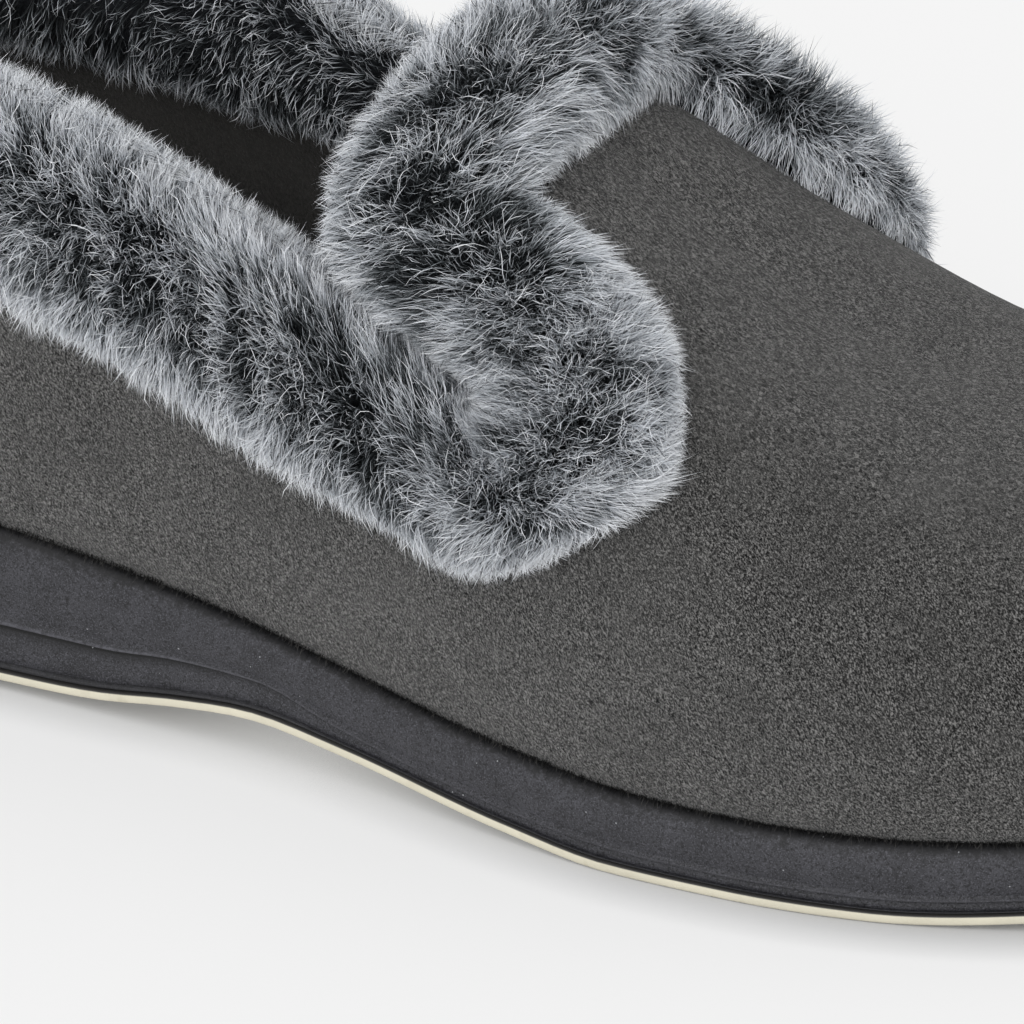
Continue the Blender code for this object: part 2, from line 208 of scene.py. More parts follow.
def new_material(name, roughness, **sockets):
    """Material with its Principled shader set up, as tree and shader for the nodes that follow."""
    material = bpy.data.materials.new(name)
    material.use_nodes = True
    shader = material.node_tree.nodes["Principled BSDF"]
    shader.inputs["Roughness"].default_value = roughness
    for socket, value in sockets.items():
        shader.inputs[socket.replace("_", " ")].default_value = value
    return material, material.node_tree, shader


def remap(tree, value, low, high, to_low, to_high):
    """Value moved from one range to another and kept inside it."""
    inputs = {"Value": value, "From Min": low, "From Max": high, "To Min": to_low, "To Max": to_high}
    return add(tree, "ShaderNodeMapRange", inputs).outputs["Result"]


def math_node(tree, operation, first, second):
    made = add(tree, "ShaderNodeMath", operation=operation)
    for socket, value in zip(made.inputs, (first, second)):
        if isinstance(value, bpy.types.NodeSocket):
            tree.links.new(value, socket)
        else:
            socket.default_value = value
    return made.outputs[0]


def mix(tree, share, first, second):
    """Blend of two colours by a share."""
    made = add(tree, "ShaderNodeMix", data_type="RGBA")
    for socket, value in zip((made.inputs[0], made.inputs[6], made.inputs[7]), (share, first, second)):
        if isinstance(value, bpy.types.NodeSocket):
            tree.links.new(value, socket)
        else:
            socket.default_value = value if isinstance(value, float) else (*value[:3], 1.0)
    return made.outputs[2]


def bump(tree, shader, height, depth, strength=1.0):
    """Relief of a depth in millimetres on the shader's normal."""
    made = add(tree, "ShaderNodeBump", {"Height": height, "Distance": depth * MM, "Strength": strength})
    tree.links.new(made.outputs["Normal"], shader.inputs["Normal"])


def node_group(name, inputs, outputs):
    """New shader node group with the sockets named, as its tree and the sockets inside it."""
    tree = bpy.data.node_groups.new(name, "ShaderNodeTree")
    for way, sockets in (("INPUT", inputs), ("OUTPUT", outputs)):
        for socket, kind in sockets.items():
            tree.interface.new_socket(socket, in_out=way, socket_type="NodeSocket" + kind)
    return tree, tree.nodes.new("NodeGroupInput").outputs, tree.nodes.new("NodeGroupOutput").inputs


# Inputs that a group hands to its noise, and those that set a mask between two levels
LUMP_INPUTS = ("Vector", "Scale", "Detail", "Roughness", "Distortion")
MASK_INPUTS = ("Low", "High", "At Low", "At High")


def soft_patches_group():
    """Soft patches of clouding, grain, dust or pile: a mask between two levels, and their height."""
    inputs = {"Vector": "Vector", **dict.fromkeys(LUMP_INPUTS[1:] + MASK_INPUTS, "Float")}
    tree, given, result = node_group("soft_patches", inputs, {"Mask": "Float", "Height": "Float"})
    lumps = add(tree, "ShaderNodeTexNoise", {name: given[name] for name in LUMP_INPUTS}).outputs["Fac"]
    mask = remap(tree, lumps, *(given[name] for name in MASK_INPUTS))
    tree.links.new(mask, result["Mask"])
    tree.links.new(lumps, result["Height"])
    return tree


def edge_shade_group():
    """Shade of dirt, cement or painted shadow that a colour passes into between two rows near an edge.
    """
    inputs = {**dict.fromkeys(("Rows",) + MASK_INPUTS, "Float"), "Color": "Color", "Shade": "Color"}
    tree, given, result = node_group("edge_shade", inputs, {"Color": "Color", "Mask": "Float"})
    mask = remap(tree, given["Rows"], *(given[name] for name in MASK_INPUTS))
    tree.links.new(mix(tree, mask, given["Color"], given["Shade"]), result["Color"])
    tree.links.new(mask, result["Mask"])
    return tree


SOFT_PATCHES = soft_patches_group()
EDGE_SHADE = edge_shade_group()


def patches(tree, vector, size, detail, levels=(0.0, 1.0), shares=(0.0, 1.0), roughness=0.5,
            distortion=0.0):
    """Mask and height of soft patches of a size in millimetres, with a share at each of two levels."""
    lumps = dict(zip(LUMP_INPUTS, (vector, 1.0 / (size * MM), detail, roughness, distortion)))
    masks = dict(zip(MASK_INPUTS, (*levels, *shares)))
    made = add(tree, "ShaderNodeGroup", {**lumps, **masks}, node_tree=SOFT_PATCHES)
    return made.outputs["Mask"], made.outputs["Height"]


def edge_shade(tree, rows, span, shares, colour, shade):
    """Colour shaded over a span of rows, with a share at each end, and the mask of the shade."""
    inputs = {"Rows": rows, "Color": colour, "Shade": (*shade, 1.0)}
    masks = dict(zip(MASK_INPUTS, (*span, *shares)))
    made = add(tree, "ShaderNodeGroup", {**inputs, **masks}, node_tree=EDGE_SHADE)
    return made.outputs["Color"], made.outputs["Mask"]


def object_place(tree):
    return add(tree, "ShaderNodeTexCoord").outputs["Object"]


def climb_rows(tree, section):
    """How far up the rows of a section a place is."""
    climb = add(tree, "ShaderNodeAttribute", attribute_name="climb").outputs["Fac"]
    return math_node(tree, "MULTIPLY", climb, len(section) - 1.0)


def shaded(colour, share):
    """Colour made darker, or lighter with a share over one."""
    return [channel * share for channel in colour]


def cream_rubber():
    material, tree, shader = new_material("cream_rubber", 0.62)
    place = object_place(tree)
    cloud, _ = patches(tree, place, 9.0, 3.0, (0.3, 0.7))
    grime, _ = patches(tree, place, 2.2, 3.0, (0.56, 0.78), (0.0, 0.3))
    _, grain = patches(tree, place, 0.4, 3.0)
    tint = mix(tree, grime, mix(tree, cloud, CREAM, shaded(CREAM, 0.88)), GRIME)
    tint, _ = edge_shade(tree, climb_rows(tree, OUTSOLE_SECTION), CEMENT_ROWS, (0.0, 1.0), tint, CEMENT)
    tree.links.new(tint, shader.inputs["Base Color"])
    bump(tree, shader, grain, 0.06)
    return material


def ribbed_rubber():
    material, tree, shader = new_material("ribbed_rubber", 0.7)
    place = object_place(tree)
    ribs = add(tree, "ShaderNodeTexWave", {
        "Vector": place, "Scale": 1.0 / (RIB_PITCH * MM) / 3.2, "Distortion": 1.4, "Detail": 1.0,
        "Detail Scale": 0.35}, wave_type="BANDS", bands_direction="X").outputs["Fac"]
    tint = mix(tree, remap(tree, ribs, 0.1, 0.6, 0.0, 1.0), shaded(CREAM, 0.62), CREAM)
    tree.links.new(tint, shader.inputs["Base Color"])
    bump(tree, shader, ribs, RIB_DEPTH)
    return material


def outsole_heights(angle):
    return [station("rise", angle), station("rise", angle) + OUTSOLE_THICKNESS]


outsole_mesh = woven("outsole_sheet", [
    (OUTSOLE_EDGE_STEPS, len(OUTSOLE_SECTION) - 1, sole_place(OUTSOLE_SECTION, outsole_heights))])
outsole = link("outsole_sheet", outsole_mesh, "cream_rubber", cream_rubber(), ribbed_rubber())
for face in outsole_mesh.polygons:
    face.material_index = int(face.normal.z < UNDERSIDE_FACING)
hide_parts("outsole")

# Midsole: a moulded charcoal unit sole of foam rubber, wedged at the heel and thin under the ball.
# A rolled ridge divides its side into a bulged upper band and a recessed lower one, a fine groove
# runs above the outsole, and lint and small pits mark its satin skin.
GAP = 0.3
CHARCOAL = (0.0330, 0.0330, 0.0382)
SKIN_ROUGH, STRIP_ROUGH = 0.6, 0.38
PIT_AND_SHADE = (0.007, 0.007, 0.008)
GROOVE_SHADE = (0.006, 0.006, 0.007)
LINT = (0.36, 0.37, 0.39)
# Pitch, radius and chosen share of the pits and of the small and large specks of lint
PITS, SMALL_LINT, LARGE_LINT = (3.4, 0.2, 0.1), (1.5, 0.11, 0.2), (5.3, 0.18, 0.25)
MIDSOLE_EDGE_STEPS = 280
# Reach, inset and level: level 0 is the base, 1 the step line and 2 the feather line
MIDSOLE_SECTION = np.array((
    (0.00, 0.0, 0.0), (0.60, 0.6, 0.0), (0.98, 0.6, 0.0), (1.00, 0.45, 0.01), (1.00, 0.22, 0.03),
    (1.00, 0.15, 0.07), (1.00, 0.2, 0.11), (1.00, 0.55, 0.125), (1.00, 0.65, 0.14), (1.00, 0.5, 0.16),
    (1.00, 0.6, 0.45), (1.00, 0.8, 0.86), (1.00, 1.05, 0.94), (1.00, 0.85, 0.965), (1.00, 0.1, 0.995),
    (1.00, -0.25, 1.015), (1.00, -0.35, 1.035), (1.00, -0.2, 1.06), (1.00, 0.08, 1.085),
    (1.00, 0.06, 1.13), (1.00, -0.25, 1.28), (1.00, -0.4, 1.45), (1.00, -0.35, 1.62),
    (1.00, -0.1, 1.80), (1.00, 0.25, 1.91), (1.00, 0.7, 1.97), (1.00, 1.3, 2.00), (0.94, 1.6, 2.00),
    (0.50, 1.6, 2.00), (0.00, 0.0, 2.00),
))
# Rows of the section that the skin's marks cover: the strip above the outsole, the painted shade in the
# fine line over it, the painted shadow under the step and the painted highlight on the step itself, and
# the painted shade along the feather line
STRIP_ROWS, LINE_ROWS = (6.4, 7.0), (6.6, 8.9)
STEP_SHADOW_ROWS, STEP_HIGHLIGHT_ROWS, FEATHER_ROWS = (10.5, 13.9), (14.1, 16.9), (23.2, 24.7)
# The painted shadow under the step and the painted highlight on it are strong at the heel and faint
# beyond the waist
STEP_SHARP, STEP_SOFT = 95.0, 150.0


def midsole_heights(angle):
    base = station("rise", angle) + OUTSOLE_THICKNESS + GAP
    return [base, station("step", angle), station("feather", angle)]


def specks(tree, vector, pitch, radius, chosen):
    """Mask of round specks: one may fall in each cell of the pitch, and only a chosen share do."""
    cells = add(tree, "ShaderNodeTexVoronoi", {"Vector": vector, "Scale": 1.0 / (pitch * MM)})
    near = math_node(tree, "LESS_THAN", cells.outputs["Distance"], radius / pitch)
    pick = add(tree, "ShaderNodeSeparateColor", {"Color": cells.outputs["Color"]}).outputs[0]
    return math_node(tree, "MULTIPLY", near, math_node(tree, "LESS_THAN", pick, chosen))


def band(tree, value, low, high, soft=0.7):
    """Mask of a band of values with soft ends."""
    rise = remap(tree, value, low, low + soft, 0.0, 1.0)
    return math_node(tree, "MULTIPLY", rise, remap(tree, value, high - soft, high, 1.0, 0.0))


def charcoal_skin():
    material, tree, shader = new_material("charcoal_skin", SKIN_ROUGH, Specular_IOR_Level=0.35)
    place = object_place(tree)
    clouded, cloud = patches(tree, place, 5.0, 4.0, (0.32, 0.68), roughness=0.62)
    dimples, grain = patches(tree, place, 0.36, 2.0, (0.36, 0.52), (0.9, 0.0), roughness=0.7)
    dust, _ = patches(tree, place, 0.2, 1.0, (0.53, 0.7), (0.0, 0.85))
    fray, clumps = patches(tree, place, 0.9, 3.0, (0.3, 0.7), (-1.2, 1.2), roughness=0.7)
    tint = mix(tree, clouded, shaded(CHARCOAL, 0.72), shaded(CHARCOAL, 1.35))
    tint = mix(tree, dimples, tint, shaded(CHARCOAL, 0.2))
    tint = mix(tree, dust, tint, shaded(CHARCOAL, 2.4))
    rows = climb_rows(tree, MIDSOLE_SECTION)
    ragged = math_node(tree, "ADD", rows, remap(tree, grain, 0.3, 0.7, -0.5, 0.5))
    feather_shade_rows = math_node(tree, "ADD", rows, fray)
    along = add(tree, "ShaderNodeSeparateXYZ", {"Vector": place}).outputs["X"]
    sharp = remap(tree, along, *(ORIGIN[0] + at * MM for at in (STEP_SHARP, STEP_SOFT)), 1.0, 0.2)
    # Painted shadow under the step's ridge, and a ragged painted highlight along the ridge, both fading
    # beyond the waist
    step_shadow = math_node(tree, "MULTIPLY", band(tree, rows, *STEP_SHADOW_ROWS), sharp)
    tint = mix(tree, step_shadow, tint, shaded(CHARCOAL, 0.12))
    step = math_node(tree, "MULTIPLY", band(tree, ragged, *STEP_HIGHLIGHT_ROWS), sharp)
    step = math_node(tree, "MULTIPLY", step, remap(tree, clumps, 0.36, 0.6, 0.1, 1.0))
    tint = mix(tree, step, tint, shaded(CHARCOAL, 2.6))
    tint, strip = edge_shade(tree, rows, STRIP_ROWS, (0.6, 0.0), tint, shaded(CHARCOAL, 0.3))
    # Painted shade in the fine groove above the outsole
    groove = math_node(tree, "MULTIPLY", band(tree, rows, *LINE_ROWS), 0.75)
    tint = mix(tree, groove, tint, GROOVE_SHADE)
    # Painted shade along the feather line under the upper's edge, with a ragged lower boundary
    tint, _ = edge_shade(tree, feather_shade_rows, FEATHER_ROWS, (0.0, 0.9), tint, PIT_AND_SHADE)
    tint = mix(tree, specks(tree, place, *PITS), tint, PIT_AND_SHADE)
    small, large = specks(tree, place, *SMALL_LINT), specks(tree, place, *LARGE_LINT)
    lint = math_node(tree, "MULTIPLY", math_node(tree, "ADD", small, large), 0.7)
    tree.links.new(mix(tree, lint, tint, LINT), shader.inputs["Base Color"])
    gloss = mix(tree, strip, [SKIN_ROUGH] * 3, [STRIP_ROUGH] * 3)
    tree.links.new(gloss, shader.inputs["Roughness"])
    relief = math_node(tree, "ADD", grain, math_node(tree, "MULTIPLY", cloud, 1.5))
    bump(tree, shader, relief, 0.12, 0.7)
    return material


midsole_mesh = woven("midsole_unit", [
    (MIDSOLE_EDGE_STEPS, len(MIDSOLE_SECTION) - 1, sole_place(MIDSOLE_SECTION, midsole_heights))])
midsole = link("midsole_unit", midsole_mesh, "charcoal_sole", charcoal_skin())
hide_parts("midsole")

# Insole: a thin foam footbed faced with dark short-pile cloth, laid on the unit sole inside the
# upper. Its edge is rolled where the cloth turns over the foam.
WALL = 2.5
FEATHER_INSET = 1.4
INSOLE_THICKNESS = 4.0
INSOLE_EDGE_STEPS = 160
INSOLE_INSET = FEATHER_INSET + WALL + 2 * GAP
LINING = (0.0280, 0.0265, 0.0240)
INSOLE_SECTION = np.array((
    (0.00, 0.0, 0.0), (0.60, 0.0, 0.0), (1.00, 0.7, 0.0), (1.00, 0.1, 0.18), (1.00, 0.0, 0.45),
    (1.00, 0.2, 0.75), (1.00, 0.9, 0.95), (1.00, 2.2, 1.0), (0.80, 0.0, 0.97), (0.45, 0.0, 0.9),
    (0.00, 0.0, 0.86),
)) + np.array((0.0, INSOLE_INSET, 0.0))


def insole_heights(angle):
    base = station("feather", angle) + GAP
    return [base, base + INSOLE_THICKNESS]


def lining_cloth():
    material, tree, shader = new_material("lining_cloth", 0.95, Sheen_Weight=0.25, Sheen_Roughness=0.5)
    place = object_place(tree)
    raised, pile = patches(tree, place, 0.5, 3.0, (0.3, 0.7), roughness=0.7)
    brushed, _ = patches(tree, place, 11.0, 2.0, (0.4, 0.7), (0.0, 0.4))
    light, dark = shaded(LINING, 1.9), shaded(LINING, 0.4)
    tint = mix(tree, brushed, mix(tree, raised, dark, light), light)
    tree.links.new(tint, shader.inputs["Base Color"])
    bump(tree, shader, pile, 0.25)
    return material


lining = lining_cloth()
insole_mesh = woven("insole_footbed", [
    (INSOLE_EDGE_STEPS, len(INSOLE_SECTION) - 1, sole_place(INSOLE_SECTION, insole_heights))])
insole = link("insole_footbed", insole_mesh, "dark_footbed", lining)
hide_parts("insole")

# Upper: one wall of grey microsuede over padding and a dark lining, lasted over the foot form and
# cemented into the sole at the feather line. Its quarters run up to the topline, with a notch on
# each side, and the vamp ends in a tab over the instep.
WALL_BULGE = 1.8
BULGE_HOOP = 0.2
ACROSS_POWER = 0.8
UP_POWER = 0.9
SUEDE = (0.0682, 0.0670, 0.0652)
NAP_LENGTH = 0.34
NAP_WIDTH = 0.18
NAP_COARSE = 0.36
NAP_SLANT = 55.0
TUCK_SHADE = (0.008, 0.008, 0.008)
# Shares of the quarter's height between which the painted shade at the feather line fades
TUCK = (0.0, 0.006)
# Climb of the vamp over which its nap turns coarse
COARSE_CLIMB = (1.1, 1.6)
NOTCH_ALONG, NOTCH_LOW, NOTCH_HIGH = 155.0, 34.8, 38.8
QUARTER_STEPS, VAMP_STEPS, QUARTER_ROWS, TAB_ROWS = 48, 44, 20, 20
# Each hoop of the upper runs from the feather line up to this point of the ridge over the foot
HOOP_COLUMNS = ("along", "ridge_x", "ridge_z")
HOOPS = np.array((
    (0.00, 68.0, 150.0),
    (0.16, 80.0, 141.0),
    (0.34, 100.0, 118.0),
    (0.50, 122.0, 90.4),
    (0.60, 146.0, 81.3),
    (0.68, 164.0, 69.6),
    (0.76, 182.0, 60.5),
    (0.85, 201.0, 55.5),
    (0.94, 216.0, 53.6),
    (1.00, 223.0, 53.0),
))
# The topline of the quarter (along the foot, hoop angle) and the free edge of the tab
QUARTER_EDGE = np.array(
    ((0, 25), (40, 27), (80, 31), (105, 33), (125, 34.2), (NOTCH_ALONG, NOTCH_LOW)), float)
TAB_EDGE = np.array(
    ((NOTCH_ALONG, NOTCH_HIGH), (145.5, 44), (136.5, 50.5), (135.8, 58), (139, 72), (142, 90)), float)
# Soft troughs and ridges of the wall: place along the foot, hoop angle, reach along and up in the
# same units, and depth, below zero for a trough
CREASES = (
    (52.0, 9.0, 9.0, 7.0, -0.35),
    (78.0, 8.0, 12.0, 8.0, 0.30),
    (112.0, 10.0, 10.0, 8.0, -0.40),
    (150.0, 10.0, 14.0, 7.0, 0.30),
    (196.0, 12.0, 16.0, 8.0, -0.25),
)


def hoop_value(name, angle):
    knots = foot_angle(HOOPS[:, 0] * LENGTH)
    return smooth(knots, HOOPS[:, HOOP_COLUMNS.index(name)], angle)


def upper_point(angle, side, hoop):
    """Outer face of the upper: hoop 0 is at the feather line and 1 on the ridge."""
    angle, side, hoop = np.broadcast_arrays(*(np.asarray(v, float) for v in (angle, side, hoop)))
    swell = WALL_BULGE * (1 - (1 - np.minimum(hoop / BULGE_HOOP, 1.0)) ** 2)
    foot = edge_of_foot(angle, side) + outward(angle, side) * (swell - FEATHER_INSET)[..., None]
    foot_z = station("feather", foot_angle(foot[..., 0])) + GAP
    ridge_x, ridge_z = hoop_value("ridge_x", angle), hoop_value("ridge_z", angle)
    ridge = np.stack([ridge_x, station("axis", foot_angle(ridge_x))], axis=-1)
    turn = hoop * math.pi / 2
    across = 1 - np.cos(turn).clip(0.0) ** ACROSS_POWER
    up = np.sin(turn) ** UP_POWER
    plan = foot + (ridge - foot) * across[..., None]
    return np.concatenate([plan, (foot_z + (ridge_z - foot_z) * up)[..., None]], axis=-1)


def upper_frame(angle, degrees, side, step=0.01):
    """Point of the upper's outer face and the direction square to it."""
    hoop = degrees / 90.0
    ahead, behind = np.minimum(angle + step, math.pi), np.maximum(angle - step, 0.0)
    above, below = np.minimum(hoop + step, 1.0), np.maximum(hoop - step, 0.0)
    lengthwise = upper_point(ahead, side, hoop) - upper_point(behind, side, hoop)
    upwards = upper_point(angle, side, above) - upper_point(angle, side, below)
    normal = np.cross(lengthwise, upwards) * -np.asarray(side, float)[..., None]
    length = np.linalg.norm(normal, axis=-1, keepdims=True)
    return upper_point(angle, side, hoop), normal / np.maximum(length, 1e-9)


def quarter_angle(angle):
    """Hoop angle of the quarter's topline."""
    return smooth(foot_angle(QUARTER_EDGE[:, 0]), QUARTER_EDGE[:, 1], angle)


def tab_angle(degrees):
    """Foot angle of the tab's free edge."""
    return smooth(TAB_EDGE[:, 1], foot_angle(TAB_EDGE[:, 0]), degrees)


def creased(angle, degrees, side):
    """Upper's outer face with its soft troughs and ridges, which differ a little from side to side."""
    face, normal = upper_frame(angle, degrees, side)
    along = LENGTH * (1 - np.cos(angle)) / 2
    depth = np.zeros_like(along)
    for at, up, reach, rise, most in CREASES:
        away = ((along - at - 6.0 * side) / reach) ** 2 + ((degrees - up) / rise) ** 2
        depth += most * np.exp(-away)
    return face + normal * depth[..., None]


def quarter_place(across, up):
    notch = foot_angle(NOTCH_ALONG)
    half = np.concatenate([np.linspace(0.0, notch, QUARTER_STEPS + 1),
                           np.linspace(notch, math.pi, VAMP_STEPS + 1)[1:]])
    steps = QUARTER_STEPS + VAMP_STEPS
    angle = np.interp(steps * (1 - np.abs(1 - 2 * across)), np.arange(steps + 1), half)
    side = np.where(across <= 0.5, -1.0, 1.0)
    return creased(angle, quarter_angle(np.minimum(angle, notch)) * up, side)


def vamp_place(across, up):
    degrees = NOTCH_LOW + (90.0 - NOTCH_LOW) * up
    start = tab_angle(degrees)
    share = 1 - np.abs(1 - 2 * across)
    return creased(start + (math.pi - start) * share, degrees, np.where(across <= 0.5, -1.0, 1.0))


def grey_suede():
    material, tree, shader = new_material(
        "grey_suede", 0.93, Sheen_Weight=0.2, Sheen_Roughness=0.42, Specular_IOR_Level=0.12)
    place = object_place(tree)
    # The nap lies forward and down, so its strokes are longer that way
    lay = add(tree, "ShaderNodeMapping", {
        "Vector": place, "Rotation": (0.0, math.radians(NAP_SLANT), 0.0),
        "Scale": (NAP_LENGTH / NAP_WIDTH, 1.0, 1.0)}, vector_type="TEXTURE").outputs["Vector"]
    # They are coarser on top, where the cloth is drawn over the foot form
    climb = add(tree, "ShaderNodeAttribute", attribute_name="climb").outputs["Fac"]
    _, fine = patches(tree, lay, NAP_WIDTH, 1.0, distortion=0.8)
    coarse, _ = patches(tree, lay, NAP_COARSE, 3.0, (0.2, 0.8), roughness=0.72, distortion=1.2)
    nap = mix(tree, remap(tree, climb, *COARSE_CLIMB, 0.0, 1.0), fine, coarse)
    lit = math_node(tree, "POWER", remap(tree, nap, 0.32, 0.68, 0.0, 1.0), 2.0)
    raised, brushed = patches(tree, place, 16.0, 3.0, (0.52, 0.7), (0.0, 0.25))
    flattened = remap(tree, brushed, 0.32, 0.48, 0.25, 0.0)
    tint = mix(tree, lit, shaded(SUEDE, 0.02), shaded(SUEDE, 3.5))
    tint = mix(tree, raised, tint, shaded(SUEDE, 1.4))
    tint = mix(tree, flattened, tint, shaded(SUEDE, 0.55))
    # Painted shade along the foot of the quarter where the suede goes into the sole
    tint, _ = edge_shade(tree, climb, TUCK, (0.85, 0.0), tint, TUCK_SHADE)
    tree.links.new(tint, shader.inputs["Base Color"])
    bump(tree, shader, nap, 0.5)
    return material


upper_mesh = woven("upper_suede", [
    (2 * (QUARTER_STEPS + VAMP_STEPS), QUARTER_ROWS, quarter_place),
    (2 * VAMP_STEPS, TAB_ROWS, vamp_place)])
upper = link("upper_suede", upper_mesh, "grey_suede", grey_suede(), lining)
wall = upper.modifiers.new("wall", "SOLIDIFY")
wall.thickness, wall.offset = WALL * MM, -1.0
wall.use_even_offset = wall.use_quality_normals = True
wall.material_offset = 1
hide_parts("upper")

# Fur collar: a padded band of fake fur sewn round the topline, over the edge and down inside. Its
# backing is dark, and the pile stands off it: near-black at the roots, silver-grey at the tips,
# in loose locks that fan out over both rims.
FUR_DEPTH = 11.0
FUR_INNER_DEPTH = 7.0
FUR_RIM = 1.2
FUR_FULLNESS = 0.7
CORE_WIDTH = 0.7
CORE_DEPTH = 0.42
SPLAY = 0.34
SPLAY_CENTRE = 0.52
SPLAY_DRIFT = 0.12
BACKING = (0.012, 0.013, 0.015)
BACKING_STEPS = 260
BACKING_ROWS = 24
# Share of the band over which the direction past its edge is read
EDGE_STEP = 0.125
# A row gives a place on the edge that the fur wraps, the place where its outer band ends, both as
# along the foot and hoop angle, how far the fur stands up past the edge, its depth off the outer face
# on the medial side, where the lobe beside the tab is fuller, and the width of its inner band as a
# share of the outer one
COLLAR_COLUMNS = (
    "edge_along", "edge_angle", "rim_along", "rim_angle", "lip", "medial_depth", "inner_share")
COLLAR = np.array((
    (0.0, 25.0, 0.0, 14.5, 8.0, 11.0, 0.92),
    (40.0, 27.0, 40.0, 15.5, 8.0, 11.0, 0.92),
    (80.0, 31.0, 80.0, 17.4, 8.0, 11.0, 0.80),
    (105.0, 33.0, 106.0, 17.6, 8.0, 11.0, 0.58),
    (125.0, 34.2, 127.0, 17.6, 7.5, 11.0, 0.60),
    (141.0, 34.6, 143.0, 17.6, 5.0, 11.0, 0.66),
    (151.0, 34.8, 154.0, 17.8, 2.2, 11.0, 0.78),
    (155.0, 35.2, 162.8, 21.8, 1.5, 11.0, 0.85),
    (155.0, 36.0, 171.0, 29.2, 1.4, 11.0, 0.85),
    (155.0, 36.8, 177.5, 37.0, 1.4, 11.5, 0.85),
    (155.0, 37.6, 181.5, 45.5, 1.4, 12.5, 0.85),
    (155.0, 38.4, 181.0, 54.8, 1.5, 14.0, 0.85),
    (151.0, 40.9, 176.0, 63.0, 2.4, 15.5, 0.85),
    (143.2, 45.6, 165.5, 67.0, 6.0, 17.0, 0.85),
    (136.5, 50.5, 157.0, 68.5, 8.2, 16.5, 0.85),
    (135.8, 58.0, 157.5, 75.0, 8.0, 14.0, 0.85),
    (139.0, 72.0, 159.5, 82.5, 6.8, 11.5, 0.85),
    (142.0, 90.0, 161.0, 90.0, 6.0, 11.0, 0.85),
))
NOTCH_ROWS = (6, 12)
LAST_ROW = len(COLLAR) - 1.0
# How far the tips lean over the slit of the notch, from row to row
SLIT_ROWS = (3.2, 4.8, 6.0, 7.2, 11.6, 12.8, 14.2)
SLIT_FILL = (0.0, 3.2, 2.4, 0.0, 0.0, 1.8, 0.0)


def collar_rows(at):
    """Collar table read between its rows: edge and rim as (foot angle, hoop angle), the lip, the depth
    on the medial side, and the share of the inner band."""
    rows = np.arange(len(COLLAR), dtype=float)
    read = {}
    for name, column in zip(COLLAR_COLUMNS, COLLAR.T):
        read[name] = smooth(rows, foot_angle(column) if name.endswith("along") else column, at)
    first, last = NOTCH_ROWS
    edge_angle = np.where(at <= first, quarter_angle(read["edge_along"]), read["edge_angle"])
    edge_along = np.where(at >= last, tab_angle(edge_angle), read["edge_along"])
    edge = np.column_stack([edge_along, edge_angle])
    rim = np.column_stack([read["rim_along"], read["rim_angle"]])
    return edge, rim, read["lip"], read["medial_depth"], read["inner_share"]


def band_width(at):
    """Width of the outer band, measured over the cloth from its edge to its rim."""
    edge, rim, _, _, _ = collar_rows(at)
    shares = np.linspace(0.0, 1.0, 9)[:, None, None]
    track = edge + (rim - edge) * shares
    points = upper_point(track[..., 0], -1.0, track[..., 1] / 90.0)
    return np.linalg.norm(np.diff(points, axis=0), axis=-1).sum(axis=0)


# Even steps along the middle of the band, and its width there
FINE_ROWS = np.linspace(0.0, LAST_ROW, 600)
FINE_WIDTHS = band_width(FINE_ROWS)
fine_edge, fine_rim, FINE_LIPS, FINE_MEDIAL, FINE_INNER = collar_rows(FINE_ROWS)
fine_middle = sum(upper_point(p[:, 0], -1.0, p[:, 1] / 90.0) for p in (fine_edge, fine_rim)) / 2
FINE_RUN = np.append(0.0, np.cumsum(np.linalg.norm(np.diff(fine_middle, axis=0), axis=1)))


def collar_place(at, side, into, height):
    """Place at a row of the collar: into the cloth from its edge, and off its outer face."""
    edge, rim, _, _, _ = collar_rows(at)
    width = np.interp(at, FINE_ROWS, FINE_WIDTHS)
    spot = edge + (rim - edge) * np.clip(into / width, 0.0, None)[:, None]
    face, normal = upper_frame(spot[:, 0], spot[:, 1], side)
    inner = edge + (rim - edge) * EDGE_STEP
    back, behind = (upper_point(p[:, 0], side, p[:, 1] / 90.0) for p in (edge, inner))
    back = back - behind
    back /= np.linalg.norm(back, axis=1, keepdims=True)
    return face + normal * height[:, None] + back * np.clip(-into, 0.0, None)[:, None]


def fur_section(at, side, turn, inner, wide, deep, lean=0.0):
    """Into and height at a turn of the fur's section, from 0 at the rim to 1 at the top. Wide and deep
    scale it, so that 1 is the reach of the pile, and a lean of 1 closes the slit."""
    lip = np.interp(at, FINE_ROWS, FINE_LIPS) + lean * np.interp(at, SLIT_ROWS, SLIT_FILL)
    share = np.where(inner, np.interp(at, FINE_ROWS, FINE_INNER), 1.0)
    width = np.interp(at, FINE_ROWS, FINE_WIDTHS) * share
    middle, half = (width - lip) / 2, (width + lip) / 2
    rise = np.sin(math.pi * turn)
    rise = np.sign(rise) * np.abs(rise) ** FUR_FULLNESS
    foot = np.where(turn < 0.5, FUR_RIM, 0.0)
    outer_depth = np.where(side < 0, FUR_DEPTH, np.interp(at, FINE_ROWS, FINE_MEDIAL))
    depth = np.where(inner, FUR_INNER_DEPTH + WALL, outer_depth)
    foot = np.where(inner & (turn < 0.5), FUR_RIM + WALL, foot)
    height = foot + (depth - foot) * rise * deep
    return middle + half * np.cos(math.pi * turn) * wide, np.where(inner, -height, height)


